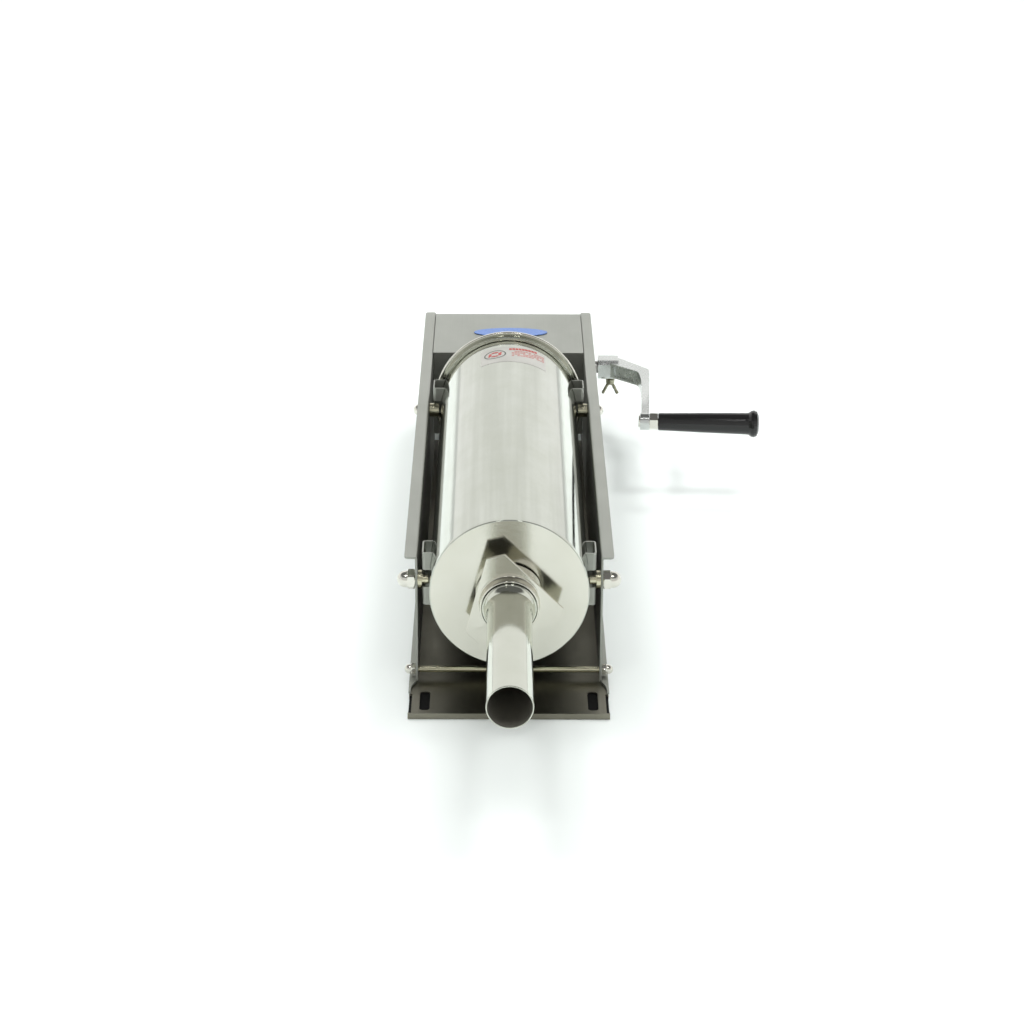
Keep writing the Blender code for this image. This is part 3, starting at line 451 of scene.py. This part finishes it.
def refined(node, width, segments=2, angle=32.0, material=None, bend=None):
    """A copy of a CAD node with rounded edges.

    bend = (x, z, reach, radius) rounds the fold that runs along Y at |x|, z.
    """
    mesh = node_objects[node].data.copy()
    mesh.name = node + "_fine"
    work = bmesh.new()
    work.from_mesh(mesh)
    bmesh.ops.remove_doubles(work, verts=work.verts, dist=0.00001)
    bmesh.ops.dissolve_limit(
        work, angle_limit=math.radians(1.0), verts=work.verts, edges=work.edges,
        use_dissolve_boundaries=False)
    if bend:
        x, z, reach, radius = bend
        folds = [
            edge for edge in work.edges
            if all(
                abs(abs(v.co.x) - x) < reach and abs(v.co.z - z) < reach for v in edge.verts)
            and abs(edge.verts[0].co.y - edge.verts[1].co.y) > 0.05]
        bmesh.ops.bevel(
            work, geom=folds, offset=radius, segments=5, profile=0.5, affect="EDGES",
            clamp_overlap=True)
    work.to_mesh(mesh)
    work.free()
    shade(mesh, angle)
    slot = slot_of_node[node]
    material = material or SLOT_MATERIALS[slot]
    obj = add_piece(node + "_fine", mesh, material, body_of_node[node], (node,))
    if width:
        edge = obj.modifiers.new("edges", "BEVEL")
        edge.width = width
        edge.segments = segments
        edge.limit_method = "ANGLE"
        edge.angle_limit = math.radians(angle)
        edge.harden_normals = True


def lathe(name, profile, placing, material, body, replaces, steps, closed=False):
    """Turn (radius, height) pairs about the Z axis of a placing matrix."""
    points = []
    faces = []
    rows = len(profile)
    for i in range(steps):
        turn = 2 * math.pi * i / steps
        for radius, height in profile:
            spot = Vector((radius * math.cos(turn), radius * math.sin(turn), height))
            points.append(placing @ spot)
    last = rows if closed else rows - 1
    for i in range(steps):
        j = (i + 1) % steps
        for k in range(last):
            n = (k + 1) % rows
            corners = [i * rows + k, j * rows + k, j * rows + n, i * rows + n]
            if profile[k][0] == 0:
                corners = [i * rows + k, j * rows + n, i * rows + n]
            elif profile[n][0] == 0:
                corners = [i * rows + k, j * rows + k, i * rows + n]
            faces.append(corners)
    return add_piece(name, mesh_from(name, points, faces), material, body, replaces)


def facing_front(y):
    """Local +Z points along -Y, on the cylinder's axis."""
    return Matrix.Translation((0.0, y, AXIS_Z)) @ Matrix.Rotation(math.pi / 2, 4, "X")


def facing_side(x, y, z, side):
    """Local +Z points along +X or -X."""
    return Matrix.Translation((x, y, z)) @ Matrix.Rotation(side * math.pi / 2, 4, "Y")


def bow(centre, radius, start, end, count):
    """Points of an arc in a (radius, height) profile, from start to end in degrees."""
    points = []
    for i in range(count + 1):
        angle = math.radians(start + (end - start) * i / count)
        points.append((centre[0] + radius * math.cos(angle), centre[1] + radius * math.sin(angle)))
    return points


def bead(name, path, radius, material, body, steps=8):
    """A thin round bead along a path, such as a weld, a rolled edge or a painted highlight line."""
    points = []
    faces = []
    spots = [Vector(p) for p in path]
    for i, spot in enumerate(spots):
        ahead = (spots[min(i + 1, len(spots) - 1)] - spots[max(i - 1, 0)]).normalized()
        across = Vector((0, 0, 1)) if abs(ahead.z) < 0.9 else Vector((0, 1, 0))
        side = ahead.cross(across).normalized()
        up = side.cross(ahead)
        swell = radius * (0.9 + 0.2 * chance.random())
        for k in range(steps):
            turn = 2 * math.pi * k / steps
            points.append(spot + side * swell * math.cos(turn) + up * swell * math.sin(turn))
    for i in range(len(spots) - 1):
        for k in range(steps):
            n = (k + 1) % steps
            j = i + 1
            faces.append([i * steps + k, i * steps + n, j * steps + n, j * steps + k])
    faces.append(list(range(steps)))
    faces.append([(len(spots) - 1) * steps + k for k in reversed(range(steps))])
    return add_piece(name, mesh_from(name, points, faces, 60), material, body)


# ------------------------------------------------------------------ cylinder, rim, nozzle

def make_drum():
    """The tube with its front disc and spigot, and the flared rim at its rear end."""
    low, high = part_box("cylinder")
    rear = high[1]
    radius = (high[0] - low[0]) / 2
    length = rear - DISC_Y
    inside = radius - TUBE_WALL
    tip = length + SPIGOT_LENGTH
    profile = [(SPIGOT_BORE_R, tip), (SPIGOT_R - 0.001, tip)]
    profile += [(SPIGOT_R, tip - 0.001), (SPIGOT_R, length)]
    profile += [(0.035, length), (0.05, length), (radius - 0.0010, length)]
    profile += bow((radius - 0.0008, length - 0.0008), 0.0008, 90, 0, 4)
    profile += [(radius, length - 0.006)]
    profile += [(radius, length * k / 8) for k in range(7, 0, -1)]
    profile += [(radius, 0.0006), (radius - 0.0004, 0.0), (inside, 0.0)]
    profile += [(inside, length * k / 8) for k in range(1, 8)]
    profile += [(inside, length - 0.003), (SPIGOT_BORE_R, length - 0.003)]
    drum = lathe(
        "cylinder_fine", profile, facing_front(rear), TUBE, "base", ("cylinder",),
        192, True)
    drum.data.materials.append(MIRROR)
    for face in drum.data.polygons:
        x, y, z = face.center
        if y < DISC_Y + 0.0025 and math.hypot(x, z - AXIS_Z) < inside:
            face.material_index = 1
    rim_low, rim_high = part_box("cylinder_rim")
    outer = (rim_high[0] - rim_low[0]) / 2
    width = rim_high[1] - rim_low[1]
    seat = radius + 0.0003
    profile = [(seat, 0.0), (outer - 0.0012, 0.0)]
    profile += bow((outer - 0.0010, 0.0010), 0.0010, -80, 0, 4)
    profile += bow((outer - 0.0012, width - 0.0012), 0.0012, 0, 90, 6)
    profile += [(outer - 0.0035, width), (outer - 0.0039, width - 0.0002)]
    profile += [(outer - 0.0042, width - 0.0007), (outer - 0.0045, width - 0.0022)]
    profile += [(seat, width - 0.0026)]
    lathe(
        "cylinder_rim_fine", profile, facing_front(rim_high[1]), MIRROR, "base",
        ("cylinder_rim",), 192, True)


def make_nozzle():
    """A straight tube that flares to a neck and a flange behind the lock nut."""
    tip = DISC_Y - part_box("nozzle")[0][1]
    bore = NOZZLE_BORE_R
    outer = NOZZLE_R
    profile = [(bore, tip), (outer - 0.0004, tip)]
    profile += [(outer, tip - 0.0004)]
    profile += [(outer, 0.05 + (tip - 0.05) * k / 6) for k in range(5, -1, -1)]
    profile += [(0.0200, 0.0450), (0.0204, 0.0415), (0.0211, 0.0385)]
    profile += [(0.0219, 0.0362), (0.0228, 0.0343)]
    profile += bow((0.0228, 0.0315), 0.0015, 75, -10, 6)
    profile += [(0.0243, 0.0290), (0.0243, 0.0204), (0.0260, 0.0204)]
    profile += [(0.0260, 0.0186), (0.0215, 0.0186), (0.0215, 0.0310), (bore, 0.0420)]
    profile += [(bore, 0.05 + (tip - 0.05) * k / 6) for k in range(0, 6)]
    nozzle = lathe(
        "nozzle_fine", profile, facing_front(DISC_Y), NOZZLE, "outlet", ("nozzle",),
        128, True)
    nozzle.data.materials.append(BORE)
    for face in nozzle.data.polygons:
        if math.hypot(face.center.x, face.center.z - AXIS_Z) < bore + 0.0001:
            face.material_index = 1


# ------------------------------------------------------------------ fasteners

def cap_nut(node, flats, side):
    """A domed nut: chamfered hexagon, short neck, dome."""
    low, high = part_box(node)
    seat = high[0] if side < 0 else low[0]
    total = high[0] - low[0]
    y = (low[1] + high[1]) / 2
    z = (low[2] + high[2]) / 2
    base = total * 0.40
    dome = flats * 0.455
    steps = 72
    turns = [2 * math.pi * i / steps for i in range(steps)]
    half = flats / 2
    corner = flats / math.sqrt(3)
    rings = []
    for height, limit in (
        (0.0, half * 1.02), (0.0004, half * 1.09), (0.0009, corner),
        (base - 0.0010, corner), (base - 0.0004, half * 1.09), (base, half * 1.01),
    ):
        hexagon = [half / math.cos(turn % (math.pi / 3) - math.pi / 6) for turn in turns]
        rings.append([min(limit, radius) for radius in hexagon] + [height])
    shoulder = max(base + 0.0004, total - dome)
    for radius, height in [(dome + 0.0002, base), (dome, base + 0.0003), (dome, shoulder)]:
        rings.append([radius] * steps + [height])
    rise = total - shoulder
    for degrees in (15, 30, 45, 60, 75):
        tilt = math.radians(degrees)
        rings.append([dome * math.cos(tilt)] * steps + [shoulder + rise * math.sin(tilt)])
    placing = facing_side(seat, y, z, side) @ Matrix.Rotation(NUT_TURN, 4, "Z")
    points = []
    for ring in rings:
        for radius, turn in zip(ring, turns):
            spot = Vector((radius * math.cos(turn), radius * math.sin(turn), ring[-1]))
            points.append(placing @ spot)
    faces = []
    for k in range(len(rings) - 1):
        for i in range(steps):
            j = (i + 1) % steps
            n = k + 1
            faces.append([k * steps + i, k * steps + j, n * steps + j, n * steps + i])
    faces.append(list(reversed(range(steps))))
    top = len(points)
    points.append(placing @ Vector((0, 0, total)))
    last = (len(rings) - 1) * steps
    for i in range(steps):
        faces.append([last + i, last + (i + 1) % steps, top])
    mesh = mesh_from(node + "_fine", points, faces, 25)
    add_piece(node + "_fine", mesh, PLATED, "base", (node,))


def make_wing_screw():
    """The clamping screw under the crank hub, with its two thick wings."""
    low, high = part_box("wing_screw")
    x = (low[0] + high[0]) / 2
    y = SCREW_Y
    top = high[2]
    fork = top - (top - low[2]) * 0.42
    shank = [(0.0, top), (0.0021, top), (0.0026, top - 0.0005)]
    step = (top - 0.0005 - fork - 0.004) / 6
    for k in range(6):
        level = top - 0.0005 - step * k
        shank += [(0.0026, level), (0.0022, level - step / 2)]
    shank += [(0.0046, fork + 0.0040), (0.0052, fork + 0.0030), (0.0048, fork - 0.0010)]
    shank += [(0.0030, fork - 0.0030), (0.0, fork - 0.0034)]
    lathe(
        "wing_screw_fine", shank, Matrix.Translation((x, y, 0.0)), OLIVE, "clamp",
        ("wing_screw",), 32)
    reach = (high[0] - low[0]) / 2 - 0.0018
    drop = fork - low[2] - 0.0016
    for word, side in (("left", -1), ("right", 1)):
        path = [
            (x + side * reach * (0.18 + 0.82 * k / 8), y, fork - 0.0004 - drop * k / 8)
            for k in range(9)]
        wing = bead("wing_" + word, path, 0.0019, OLIVE, "clamp", 12)
        for vertex in wing.data.vertices:
            vertex.co.y = y + (vertex.co.y - y) * (1.0 + 0.7 * abs(vertex.co.x - x) / reach)


# ------------------------------------------------------------------ sticker

def curved_patch(name, spots, lift, material):
    """Flat shapes given as (distance round the tube, Y), laid on the tube's surface."""
    radius = TUBE_R + lift
    points = []
    faces = []
    for ring in spots:
        start = len(points)
        for s, y in ring:
            angle = s / TUBE_R
            points.append((radius * math.sin(angle), y, AXIS_Z + radius * math.cos(angle)))
        faces.append(list(range(start, len(points))))
    mesh = bpy.data.meshes.new(name)
    mesh.from_pydata(points, [], faces)
    for face in mesh.polygons:
        face.use_smooth = True
    return add_piece(name, mesh, material, "base")


def strips(low, high, count):
    """A rectangle in (distance round the tube, Y) cut into strips, so that it follows the curve."""
    parts = []
    for i in range(count):
        a = low[0] + (high[0] - low[0]) * i / count
        b = low[0] + (high[0] - low[0]) * (i + 1) / count
        parts.append([(a, low[1]), (b, low[1]), (b, high[1]), (a, high[1])])
    return parts


def arc_block(inner, outer, start, end):
    """A piece of a ring about the middle of the sticker's mark."""
    x, y = MARK_AT
    return [
        (x + r * math.cos(t), y + r * math.sin(t))
        for r, t in ((outer, start), (outer, end), (inner, end), (inner, start))]


def dash(x, y, width, height):
    return [(x, y), (x + width, y), (x + width, y + height), (x, y + height)]


def make_sticker():
    """A clear film with a ring, a plain mark, a bar and rows of dashes. There is no lettering."""
    film = brushed(
        "sticker_film", (0.66, 0.655, 0.62), (0.62, 0.61, 0.57), (0.34, 0.42),
        (60, 60, 60), 0.0000006)
    grey = coated("sticker_grey", (0.05, 0.065, 0.05), (0.35, 0.45), 0.000004, 500)
    red = coated("sticker_red", (0.42, 0.045, 0.035), (0.35, 0.45), 0.000004, 500)
    pale = coated("sticker_pale_red", (0.50, 0.12, 0.10), (0.35, 0.45), 0.000004, 500)
    sheet = strips((-0.0300, 0.4250), (0.0405, 0.4700), 24)
    curved_patch("sticker_base", sheet, 0.00012, film)
    ring = []
    mark = []
    for i in range(40):
        start = 2 * math.pi * i / 40
        end = 2 * math.pi * (i + 1) / 40
        ring.append(arc_block(0.0104, 0.0118, start, end))
        if i % 10 not in (4, 5):
            mark.append(arc_block(0.0038, 0.0070, start, end))
    mark.append([(-0.0222, 0.4462), (-0.0212, 0.4440), (-0.0070, 0.4528), (-0.0080, 0.4550)])
    curved_patch("sticker_ring", ring, 0.00020, grey)
    curved_patch("sticker_mark", mark, 0.00024, red)
    bar = [dash(0.0003 + 0.0034 * i, 0.4597 + 0.00060 * i, 0.0029, 0.0054) for i in range(9)]
    curved_patch("sticker_bar", bar, 0.00020, red)
    lines = []
    for row in range(4):
        for i in range(12):
            if (i * 5 + row * 3) % 7 == 0:
                continue
            rise = 0.4552 - 0.0042 * row + 0.00048 * i
            lines.append(dash(0.0030 + 0.0030 * i, rise, 0.0026, 0.0019))
    curved_patch("sticker_lines", lines, 0.00020, pale)


# ------------------------------------------------------------------ build

make_camera()
make_world()
make_floor()
for lamp_row in LAMPS:
    make_lamp(*lamp_row)
make_drum()
make_nozzle()
for plate_node in ("side_plate_left", "side_plate_right"):
    refined(plate_node, 0.0004, bend=WALL_FOLD)
refined("base_tray", 0.0005, 3, material=TRAY_PAINTED_SHADE)
refined("gearbox_cover", 0.0006, 3)
for block_node, block_edge in (
    ("front_bracket_left", 0.0005), ("front_bracket_right", 0.0005),
    ("rear_bracket_left", 0.0005), ("rear_bracket_right", 0.0005),
    ("crank_arm", 0.0005), ("name_badge", 0.0003), ("nozzle_nut", 0.0005),
    ("grip_lock_nut", 0.0005), ("corner_pad_left", 0.0003), ("corner_pad_right", 0.0003),
    ("rack", 0.0005), ("rack_stop", 0.0005), ("gear_frame_left", 0.0005),
    ("gear_frame_right", 0.0005),
):
    refined(block_node, block_edge)
for word, side in (("left", -1), ("right", 1)):
    cap_nut("pivot_cap_nut_" + word, 0.017, side)
    cap_nut("hook_cap_nut_" + word, 0.013, side)
    cap_nut("rod_cap_nut_" + word, 0.010, side)
make_wing_screw()
make_sticker()
# A thin bright plated bead along the tray's front fold: painted highlight, the light line on the
# bend.
tray_low, tray_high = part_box("base_tray")
fold_length = tray_high[0] - tray_low[0] - 0.0012
fold = [
    (tray_low[0] + 0.0006 + fold_length * k / 24, tray_low[1] + 0.0005, tray_high[2] - 0.0004)
    for k in range(25)]
bead("tray_front_fold_highlight", fold, 0.00045, PLATED, "base")
